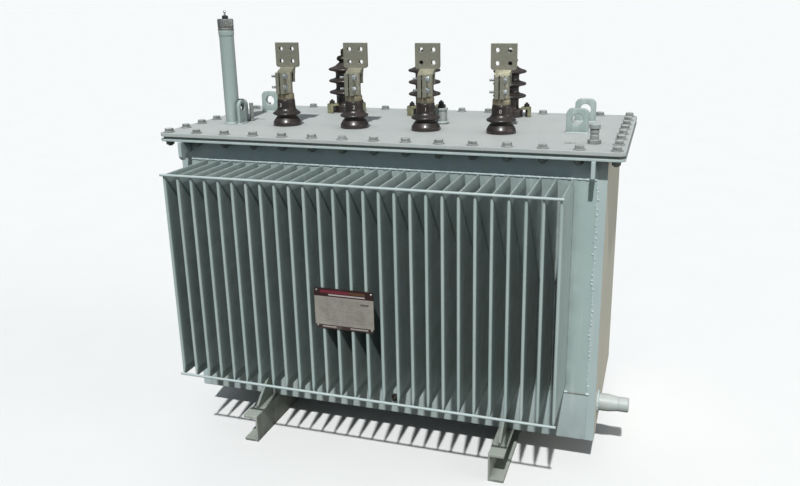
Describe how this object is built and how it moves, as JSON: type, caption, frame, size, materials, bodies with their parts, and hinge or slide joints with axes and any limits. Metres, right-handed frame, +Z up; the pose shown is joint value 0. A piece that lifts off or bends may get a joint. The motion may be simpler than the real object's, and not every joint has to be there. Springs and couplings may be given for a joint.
{
  "type": "distribution transformer",
  "caption": "Sealed oil-filled distribution transformer: corrugated cooling fins on both long sides, bolted cover with porcelain bushings, lifting lugs, filler pipe and channel skids.",
  "frame": {"origin": "middle of the whole object's box, at the underside of the skids", "axes": "+X along the length towards the drain, +Y towards the high-voltage side, +Z up"},
  "size_m": [1.502, 1.1082, 1.3737],
  "materials": {
    "tank_paint": "satin grey-green paint, dusty",
    "cover_paint": "satin light grey paint, dusty",
    "porcelain": "dark brown glaze",
    "tinned_terminal": "dull tinned metal",
    "brass": "dull brass",
    "zinc_steel": "yellowish zinc plate",
    "gasket": "matt black",
    "cap_metal": "dark grey, worn",
    "knob": "matt black",
    "plate": "bare, printed bands without words"
  },
  "bodies": {
    "root": {"left_skid": "tank_paint", "right_skid": "tank_paint", "skid_gussets": "tank_paint", "tank_floor": "tank_paint", "front_skirt": "tank_paint", "back_skirt": "tank_paint", "left_end_wall": "tank_paint", "right_end_wall": "tank_paint", "front_panel": "tank_paint", "back_panel": "tank_paint", "front_rods": "tank_paint", "back_rods": "tank_paint", "front_rail": "tank_paint", "back_rail": "tank_paint", "tank_flange": "tank_paint", "tank_hooks": "tank_paint", "cover_gasket": "gasket", "cover": "cover_paint", "lv_porcelain_1": "porcelain", "lv_porcelain_2": "porcelain", "lv_porcelain_3": "porcelain", "lv_porcelain_4": "porcelain", "lv_collars": "brass", "lv_terminal_1": "tinned_terminal", "lv_terminal_2": "tinned_terminal", "lv_terminal_3": "tinned_terminal", "lv_terminal_4": "tinned_terminal", "hv_porcelain_1": "porcelain", "hv_porcelain_2": "porcelain", "hv_porcelain_3": "porcelain", "hv_claws": "zinc_steel", "hv_terminal_1": "brass", "hv_terminal_2": "brass", "hv_terminal_3": "brass", "filler_pipe": "cover_paint", "filler_cap": "cap_metal", "pipe_bracket": "tank_paint", "tap_changer": "tank_paint", "tap_knob": "knob", "relief_valve": "zinc_steel", "vent_cock": "zinc_steel", "lifting_lugs": "cover_paint", "drain_spigot": "tank_paint", "drain_cap": "tank_paint", "rating_plate": "plate"}
  },
  "joints": []
}
